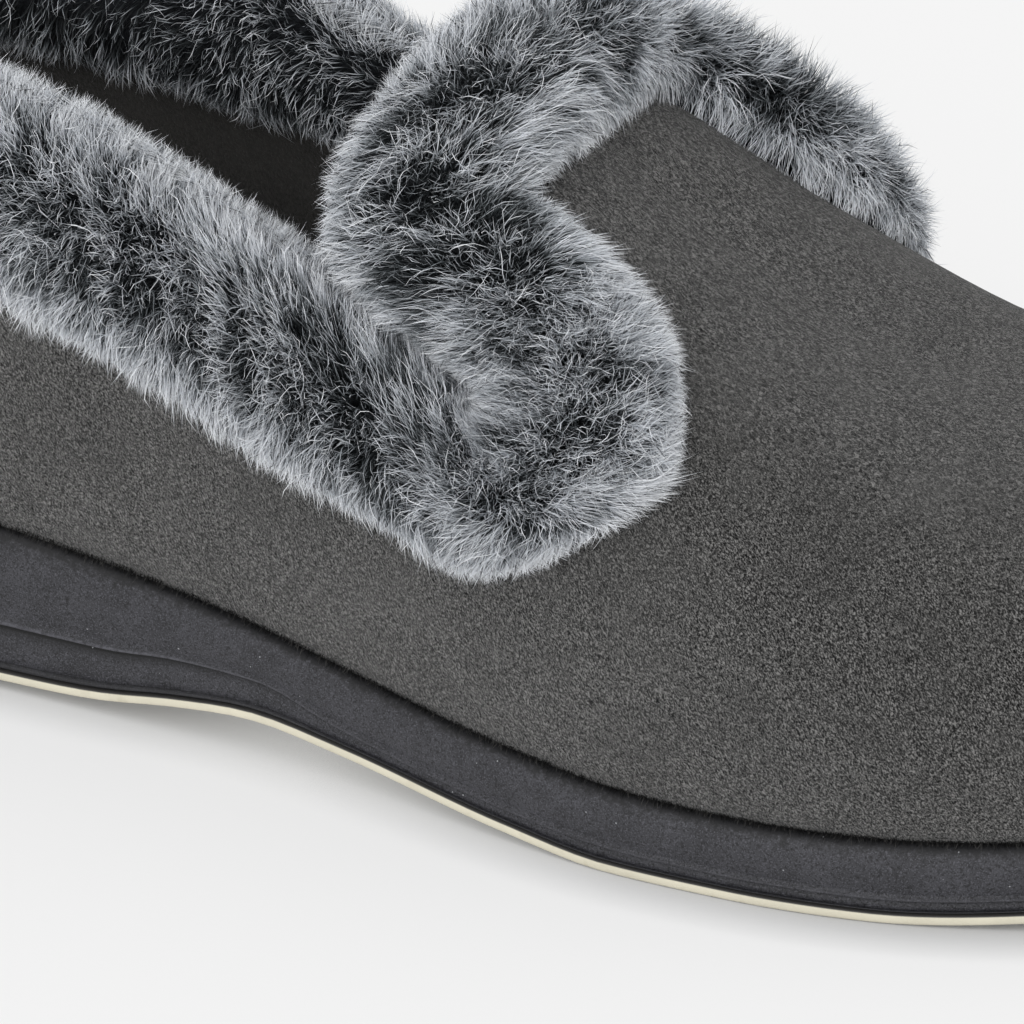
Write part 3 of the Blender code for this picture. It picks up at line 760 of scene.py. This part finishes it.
def backing_place(across, up):
    """Loop round the collar, and from the outer rim over the top to the inner rim."""
    run = FINE_RUN[-1] * (1 - np.abs(1 - 2 * across))
    at = np.interp(run, FINE_RUN, FINE_ROWS)
    side = np.where(across <= 0.5, -1.0, 1.0)
    inner = up > 0.5
    turn = np.where(inner, 2 - 2 * up, 2 * up)
    return collar_place(at, side, *fur_section(at, side, turn, inner, CORE_WIDTH, CORE_DEPTH))


def fur_backing():
    material, tree, shader = new_material("fur_backing", 1.0, Specular_IOR_Level=0.1)
    place = object_place(tree)
    raised, tufts = patches(tree, place, 0.8, 3.0, (0.4, 0.75), roughness=0.7)
    tree.links.new(mix(tree, raised, BACKING, shaded(BACKING, 3.0)), shader.inputs["Base Color"])
    bump(tree, shader, tufts, 0.5)
    return material


backing_mesh = woven("fur_backing", [(BACKING_STEPS, BACKING_ROWS, backing_place)])
backing = link("fur_backing", backing_mesh, "tipped_fur", fur_backing())
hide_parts("fur_collar")

# Pile: acrylic hairs knitted into the backing, in straight locks at the rims and fine curls in the
# middle of the band. Each is near-black at the root and silver at the tip, early at the rims and
# late in the middle, so that the dark shows there.
PATCH_COLUMNS = ("name", "sides", "first_row", "last_row", "straight", "curly")
PATCHES = (
    ("fur_heel", (-1.0, 1.0), 0.0, 1.6, 28000, 2500),
    ("fur_lateral_quarter", (-1.0,), 1.6, 6.0, 46000, 6500),
    ("fur_medial_quarter", (1.0,), 1.6, 6.0, 26000, 2500),
    ("fur_lateral_notch", (-1.0,), 6.0, 12.5, 45000, 7000),
    ("fur_medial_notch", (1.0,), 6.0, 12.5, 27000, 3000),
    ("fur_tab", (-1.0, 1.0), 12.5, LAST_ROW, 46000, 6500),
)
# Width and steps of each kind of hair, how far it waves, how much it crowds to the rims, how loosely
# it lies, and how much earlier it turns silver
HAIR_COLUMNS = ("width", "steps", "wave", "crowd", "loose", "lift")
STRAIGHT = dict(zip(HAIR_COLUMNS, (0.13, 2, 0.0, 0.4, 1.0, 0.0)))
CURLY = dict(zip(HAIR_COLUMNS, (0.085, 5, 0.6, -0.45, 1.7, 0.12)))
TIP_CROWDING = 0.6
OUTER_SHARE = 0.66
# Turns of the section that the roots cover, and how far their tips spread, bend and may pass its ends
FIRST_TURN, TURN_RANGE = 0.05, 0.93
TURN_SPREAD = 0.035
RUN_SPREAD = 0.9
BEND = 0.8
BEND_AT = 0.55
ROOT_DEPTH = 0.9
LEAST_TURN, LEAST_SPREAD = -0.03, 0.05
MOST_TURN, MOST_SPREAD = 1.0, 0.14
# Length of the hairs: the least, what a long clump adds, what it adds at the outer rim, and the spread
SHORTEST, CLUMP_LENGTH, RIM_LENGTH, LENGTH_SPREAD = 0.8, 0.2, 0.32, 0.11
# How early the silver starts, as a share of the hair, in the middle of the band and at its rims, and
# how much this drifts along the band, differs from clump to clump and from hair to hair; shorter clumps
# turn silver later, as painted shade, and longer ones earlier, as painted light
MIDDLE_ONSET, RIM_ONSET, ONSET_DRIFT, CLUMP_SHADE_ONSET, HAIR_ONSET = -0.19, 0.27, 0.12, 0.5, 0.09
# By row, it starts later along the top round the end of the slit, and along the outer rim of the tab on
# the lateral and the medial side, where on the medial side it is painted shade; inside the shoe it
# starts later at the rim, as painted shade
ONSET_ROWS = (4.4, 5.6, 9.6, 11.2, 12.4, 13.6, 15.0)
TOP_ONSET = (0.0, -0.34, -0.34, -0.34, -0.08, -0.08, -0.08)
LATERAL_ONSET = (0.07, 0.05, 0.0, 0.0, 0.0, 0.0, -0.12)
MEDIAL_ONSET_AND_SHADE = (0.07, 0.07, 0.07, 0.0, -0.2, -0.25, -0.25)
INNER_SHADE_ONSET = -0.28
RIM_POWER = 1.3
CLUMP_PITCH = 2.3
MIDDLE_PULL, RIM_PULL = 0.5, 0.85
LEAST_PULL, PULL_SPREAD = 0.6, 0.8
SPLAY_START, SPLAY_GAIN = 0.3, 1.4
CLUMP_LATTICE = 64
CLUMP_SEED, HAIR_SEED = 40, 700
ARC_SCALE = 36.0
SWIRL = 2.2
SWIRL_LENGTHS = (31.0, 17.0, 9.5)
# Colour up the hair, what greys some hairs and the share of hairs that stay dark with their colour
HAIR_STOPS = (
    (0.0, (0.008, 0.010, 0.011)), (0.34, (0.013, 0.016, 0.018)), (0.48, (0.06, 0.07, 0.075)),
    (0.64, (0.40, 0.43, 0.46)), (0.82, (0.78, 0.81, 0.86)), (1.0, (0.93, 0.95, 0.98)))
GREYING, GREYED = 0.3, (0.05, 0.055, 0.06)
DARK_HAIRS, DARK_HAIR = 0.1, (0.02, 0.022, 0.024)


def unit(rng, count):
    vectors = rng.normal(size=(count, 3))
    return vectors / np.linalg.norm(vectors, axis=1, keepdims=True)


def clump_of(run, arc, layer):
    """Centre and length of the clump nearest to a place, on a lattice with its points moved about."""
    rng = np.random.default_rng(CLUMP_SEED + layer)
    jitter = rng.random((CLUMP_LATTICE, CLUMP_LATTICE, 3))
    column, row = np.floor(run / CLUMP_PITCH).astype(int), np.floor(arc / CLUMP_PITCH).astype(int)
    best = np.full(len(run), np.inf)
    centre, length = np.zeros((len(run), 2)), np.zeros(len(run))
    for i in (-1, 0, 1):
        for j in (-1, 0, 1):
            spot = jitter[(column + i) % CLUMP_LATTICE, (row + j) % CLUMP_LATTICE]
            x = (column + i + spot[:, 0]) * CLUMP_PITCH
            y = (row + j + spot[:, 1]) * CLUMP_PITCH
            away = (x - run) ** 2 + (y - arc) ** 2
            near = away < best
            best[near], length[near] = away[near], spot[near, 2]
            centre[near] = np.column_stack([x, y])[near]
    return centre, length


def swirl(run, arc, phase):
    """Slow drift of the pile from side to side."""
    drift = np.zeros_like(run)
    for number, pitch in enumerate(SWIRL_LENGTHS):
        drift += np.sin(2 * math.pi * (run / pitch + arc / (pitch * 1.7)) + phase + 1.9 * number)
    return drift / len(SWIRL_LENGTHS)


def hair_curves(rng, count, sides, first, last, kind):
    """Root, middle and tip of hairs of one kind over a patch, and how early each turns silver."""
    rows = np.linspace(first, last, 400)
    girth = np.interp(rows, FINE_ROWS, FINE_WIDTHS + FINE_LIPS)
    run = np.interp(rows, FINE_ROWS, FINE_RUN)
    area = np.append(0.0, np.cumsum(np.diff(run) * (girth[1:] + girth[:-1]) / 2))
    at = np.interp(rng.random(count) * area[-1], area, rows)
    side = rng.choice(np.array(sides), count)
    inner = rng.random(count) > OUTER_SHARE
    even = rng.random(count)
    crowded = even - kind["crowd"] * np.sin(2 * math.pi * even) / (2 * math.pi)
    turn = FIRST_TURN + TURN_RANGE * crowded
    rim = np.abs(2 * turn - 1)
    root_run = np.interp(at, FINE_ROWS, FINE_RUN)
    arc = turn * ARC_SCALE
    layer = (side > 0) * 2 + inner
    centre, length = np.zeros((count, 2)), np.zeros(count)
    for k in range(4):
        here = layer == k
        centre[here], length[here] = clump_of(root_run[here], arc[here], k)
    off = turn - SPLAY_CENTRE - SPLAY_DRIFT * swirl(root_run, arc, 0.7 + layer)
    tip_turn = turn + SPLAY * off * (SPLAY_START + SPLAY_GAIN * np.abs(off))
    pull = MIDDLE_PULL + (RIM_PULL - MIDDLE_PULL) * rim
    pull = pull * (LEAST_PULL + PULL_SPREAD * rng.random(count))
    loose = rng.normal(0.0, kind["loose"], (count, 2))
    tip_turn += (centre[:, 1] - arc) / ARC_SCALE * pull + TURN_SPREAD * loose[:, 0]
    lean = (centre[:, 0] - root_run) * pull + SWIRL * swirl(root_run, arc, layer * 1.3)
    tip_run = root_run + lean + RUN_SPREAD * loose[:, 1]
    tip_at = np.interp(np.abs(tip_run), FINE_RUN, FINE_ROWS)
    least = LEAST_TURN + LEAST_SPREAD * rng.random(count)
    tip_turn = np.clip(tip_turn, least, MOST_TURN + MOST_SPREAD * rng.random(count))
    deep = CORE_DEPTH * ROOT_DEPTH
    root = collar_place(at, side, *fur_section(at, side, turn, inner, CORE_WIDTH, deep))
    over = collar_place(at, side, *fur_section(at, side, turn, inner, 1.0, 1.0, 1.0))
    tip = collar_place(tip_at, side, *fur_section(tip_at, side, tip_turn, inner, 1.0, 1.0, 1.0))
    longer = CLUMP_LENGTH + RIM_LENGTH * rim * (turn < 0.5)
    reach = SHORTEST + longer * length + rng.normal(0.0, LENGTH_SPREAD, count)
    tip = root + (tip - root) * reach[:, None]
    middle = root + (over - root) * BEND_AT + unit(rng, count) * BEND
    onset = MIDDLE_ONSET + (RIM_ONSET - MIDDLE_ONSET) * rim ** RIM_POWER
    onset += rng.normal(0.0, HAIR_ONSET, count)
    # Shorter clumps are darkened as painted shade and longer ones lightened as painted light
    onset += ONSET_DRIFT * swirl(root_run * 0.6, arc, 2.1 + layer) + CLUMP_SHADE_ONSET * (length - 0.5)
    top, lateral, medial = (
        np.interp(at, ONSET_ROWS, shift) for shift in (TOP_ONSET, LATERAL_ONSET, MEDIAL_ONSET_AND_SHADE))
    # Later silver inside the shoe, and on the medial rim of the tab, is painted shade
    low = np.where(inner, INNER_SHADE_ONSET, np.where(side < 0, lateral, medial))
    onset += kind["lift"] + np.where(turn > 0.5, top, low) * rim
    return root, middle, tip, onset


def strands(name, groups):
    """Mesh of hairs as tapered ribbons. A group gives the curves, width, steps and wave of its hairs,
    and the map runs across by hair and up from dark root to silver tip."""
    corners, loops, starts, maps, used, looped = [], [], [], [], 0, 0
    for rng, (root, middle, tip, onset), width, steps, wave in groups:
        count = len(root)
        flat = np.cross(tip - root, unit(rng, count))
        flat *= (width / 2 / np.linalg.norm(flat, axis=1))[:, None]
        square = np.cross(tip - root, flat)
        square *= (width / 2 / np.linalg.norm(square, axis=1))[:, None]
        tone, start, turns = rng.random(count), rng.random(count), 1.0 + 0.8 * rng.random(count)
        ring = []
        shares = np.linspace(0.0, 1.0, steps + 1) ** TIP_CROWDING
        for t in shares:
            spot = root * (1 - t) ** 2 + middle * 2 * t * (1 - t) + tip * t * t
            swing = 2 * math.pi * (start + turns * t)[:, None]
            spot += (flat * np.cos(swing) + square * np.sin(swing)) * (2 / width * wave * t)
            ring += [spot - flat, spot + flat] if t < 1 else [spot]
        size = len(ring)
        corners.append(np.stack(ring, axis=1).reshape(-1, 3))
        quads = [(2 * k, 2 * k + 1, 2 * k + 3, 2 * k + 2) for k in range(steps - 1)]
        last = [2 * steps - 2, 2 * steps - 1, 2 * steps]
        order = np.array([corner for quad in quads for corner in quad] + last)
        firsts = np.array([4 * k for k in range(steps)])
        loops.append((used + np.arange(count)[:, None] * size + order).ravel())
        starts.append((looped + np.arange(count)[:, None] * len(order) + firsts).ravel())
        up = np.clip(onset[:, None] + shares[order // 2], 0.0, 1.0)
        maps.append(np.stack(np.broadcast_arrays(tone[:, None], up), axis=-1).reshape(-1, 2))
        used, looped = used + count * size, looped + count * len(order)
    mesh = bpy.data.meshes.new(name)
    points = ORIGIN + np.concatenate(corners) * MM
    mesh.vertices.add(len(points))
    mesh.vertices.foreach_set("co", points.ravel())
    mesh.loops.add(looped)
    mesh.loops.foreach_set("vertex_index", np.concatenate(loops))
    mesh.polygons.add(sum(len(s) for s in starts))
    mesh.polygons.foreach_set("loop_start", np.concatenate(starts))
    mesh.update(calc_edges=True)
    layer = mesh.uv_layers.new(name="OFBake")
    layer.uv.foreach_set("vector", np.concatenate(maps).astype(np.float32).ravel())
    mesh.shade_smooth()
    return mesh


def hair_map(tree):
    """Tone of a hair, and the way up it from dark root to silver tip."""
    spot = add(tree, "ShaderNodeUVMap", uv_map="OFBake").outputs["UV"]
    split = add(tree, "ShaderNodeSeparateXYZ", {"Vector": spot})
    return split.outputs["X"], split.outputs["Y"]


def tipped_fur():
    material, tree, shader = new_material("tipped_fur", 0.6, Specular_IOR_Level=0.25)
    tone, up = hair_map(tree)
    ramp = add(tree, "ShaderNodeValToRGB", {"Fac": up})
    while len(ramp.color_ramp.elements) < len(HAIR_STOPS):
        ramp.color_ramp.elements.new(0.5)
    for element, (place, colour) in zip(ramp.color_ramp.elements, HAIR_STOPS):
        element.position, element.color = place, (*colour, 1.0)
    tint = mix(tree, remap(tree, tone, 0.0, 1.0, 0.0, GREYING), ramp.outputs["Color"], GREYED)
    dark = math_node(tree, "LESS_THAN", tone, DARK_HAIRS)
    tree.links.new(mix(tree, dark, tint, DARK_HAIR), shader.inputs["Base Color"])
    return material


fur = tipped_fur()
for number, row in enumerate(PATCHES):
    patch = dict(zip(PATCH_COLUMNS, row))
    rng = np.random.default_rng(HAIR_SEED + number)
    spread = patch["sides"], patch["first_row"], patch["last_row"]
    groups = []
    for count, kind in ((patch["straight"], STRAIGHT), (patch["curly"], CURLY)):
        curves = hair_curves(rng, count, *spread, kind)
        groups.append((rng, curves, kind["width"], kind["steps"], kind["wave"]))
    link(patch["name"], strands(patch["name"], groups), "tipped_fur", fur)

# Feather lint: short loose fibres of the suede's cut edge, which stand out of the crease where the
# upper goes into the sole. Most are near-black, and the rest keep the suede's grey towards their tips.
LINT_COUNT = 12000
LINT_WIDTH = 0.1
LINT_LENGTHS = (0.5, 1.7)
LINT_BAND = 0.25
# How far the fibres lean out of the crease, at random and down
LINT_OUT, LINT_LOOSE, LINT_DROP = 0.8, 0.7, 0.9
LINT_SEED = 880
DARK_FIBRE, PALE_FIBRE = (0.009, 0.009, 0.009), (0.16, 0.155, 0.15)


def feather_fibre():
    material, tree, shader = new_material("feather_fibre", 0.95, Specular_IOR_Level=0.1)
    tone, up = hair_map(tree)
    pale_share = math_node(tree, "MULTIPLY", remap(tree, tone, 0.6, 0.98, 0.0, 1.0), up)
    tree.links.new(mix(tree, pale_share, DARK_FIBRE, PALE_FIBRE), shader.inputs["Base Color"])
    return material


rng = np.random.default_rng(LINT_SEED)
lint_angle, lint_side = perimeter(rng.random(LINT_COUNT))
lint_root, lint_out = upper_frame(lint_angle, LINT_BAND * rng.random(LINT_COUNT), lint_side)
lint_way = LINT_OUT * lint_out + LINT_LOOSE * unit(rng, LINT_COUNT) - np.array((0.0, 0.0, LINT_DROP))
lint_way *= (rng.uniform(*LINT_LENGTHS, LINT_COUNT) / np.linalg.norm(lint_way, axis=1))[:, None]
lint_curves = lint_root, lint_root + lint_way / 2, lint_root + lint_way, np.zeros(LINT_COUNT)
lint_mesh = strands("feather_lint", [(rng, lint_curves, LINT_WIDTH, 1, 0.0)])
link("feather_lint", lint_mesh, "grey_suede", feather_fibre())

# Studio: a pale table lit from below under a broad overhead light, with white walls all round, and a
# painted contact shadow on the table round the sole. The camera stands in front of the outer side and
# looks down at the vamp.
FLOOR_SIZE = 12.0
FLOOR_COLOUR = (0.24, 0.24, 0.24)
FLOOR_GLOW = 0.63
CONTACT_REACH = 9.0
CONTACT_POWER = 0.75
CONTACT_LEAN = (-0.6, 0.2, 0.77)
WORLD_LIGHT = 1.0
LENS = 274.63
SENSOR = 36.0
AZIMUTH, ELEVATION, DISTANCE = 27.03, 25.03, 1.0
AIM = np.array((165.0, 0.0, 40.0))
# Where the aim point falls in the picture, from its middle, as shares of its width
AIM_RIGHT, AIM_UP = 0.18846, 0.06581
# Place, aim, size and power of each lamp, in metres and watts
LAMPS = (
    ("overhead", (-0.25, 0.25, 1.6), (0.0, 0.0, 0.0), 1.5, 2.0),
    ("front", (0.2, -1.6, 0.8), (0.0, 0.0, 0.03), 1.2, 9.0),
)

bm = bmesh.new()
bmesh.ops.create_grid(bm, x_segments=1, y_segments=1, size=FLOOR_SIZE / 2)
floor_mesh = bpy.data.meshes.new("floor")
bm.to_mesh(floor_mesh)
bm.free()
floor = bpy.data.objects.new("floor", floor_mesh)
bpy.context.scene.collection.objects.link(floor)
floor_material, floor_tree, floor_shader = new_material("pale_floor", 0.85, Specular_IOR_Level=0.2)
floor_shader.inputs["Base Color"].default_value = (*FLOOR_COLOUR, 1.0)
floor_shader.inputs["Emission Color"].default_value = (1.0, 1.0, 1.0, 1.0)
# Painted contact shadow: the table's glow is dimmed where the sole nears it, more so on the side away
# from the light
lean = add(floor_tree, "ShaderNodeCombineXYZ", dict(zip("XYZ", CONTACT_LEAN))).outputs["Vector"]
contact_shadow_ao = add(floor_tree, "ShaderNodeAmbientOcclusion", {
    "Distance": CONTACT_REACH * MM, "Normal": lean}, samples=2)
glow = math_node(floor_tree, "POWER", contact_shadow_ao.outputs["AO"], CONTACT_POWER)
glow = math_node(floor_tree, "MULTIPLY", glow, FLOOR_GLOW)
floor_tree.links.new(glow, floor_shader.inputs["Emission Strength"])
floor_mesh.materials.append(floor_material)

world = bpy.data.worlds.new("white_walls")
world.use_nodes = True
world.node_tree.nodes["Background"].inputs["Color"].default_value = (1.0, 1.0, 1.0, 1.0)
world.node_tree.nodes["Background"].inputs["Strength"].default_value = WORLD_LIGHT
bpy.context.scene.world = world
bpy.context.scene.view_settings.view_transform = "Standard"

for name, place, aim, size, power in LAMPS:
    lamp_data = bpy.data.lights.new(name, "AREA")
    lamp_data.shape, lamp_data.size, lamp_data.energy = "DISK", size, power
    lamp = bpy.data.objects.new(name, lamp_data)
    bpy.context.scene.collection.objects.link(lamp)
    lamp.location = place
    lamp.rotation_euler = (Vector(aim) - Vector(place)).to_track_quat("-Z", "Y").to_euler()

azimuth, elevation = math.radians(AZIMUTH), math.radians(ELEVATION)
right = Vector((math.cos(azimuth), math.sin(azimuth), 0.0))
back = Vector((math.sin(azimuth) * math.cos(elevation), -math.cos(azimuth) * math.cos(elevation),
               math.sin(elevation)))
up = back.cross(right)
focal = LENS / SENSOR
behind = (back + right * (AIM_RIGHT / focal) + up * (AIM_UP / focal)).normalized()
beside = (right - behind * right.dot(behind)).normalized()
camera_data = bpy.data.cameras.new("camera")
camera_data.lens, camera_data.sensor_width = LENS, SENSOR
camera_data.clip_end = 50.0
camera = bpy.data.objects.new("camera", camera_data)
bpy.context.scene.collection.objects.link(camera)
turned = Matrix((beside, behind.cross(beside), behind)).transposed()
camera.matrix_world = Matrix.Translation(Vector(ORIGIN + AIM * MM) + back * DISTANCE) @ turned.to_4x4()
bpy.context.scene.camera = camera
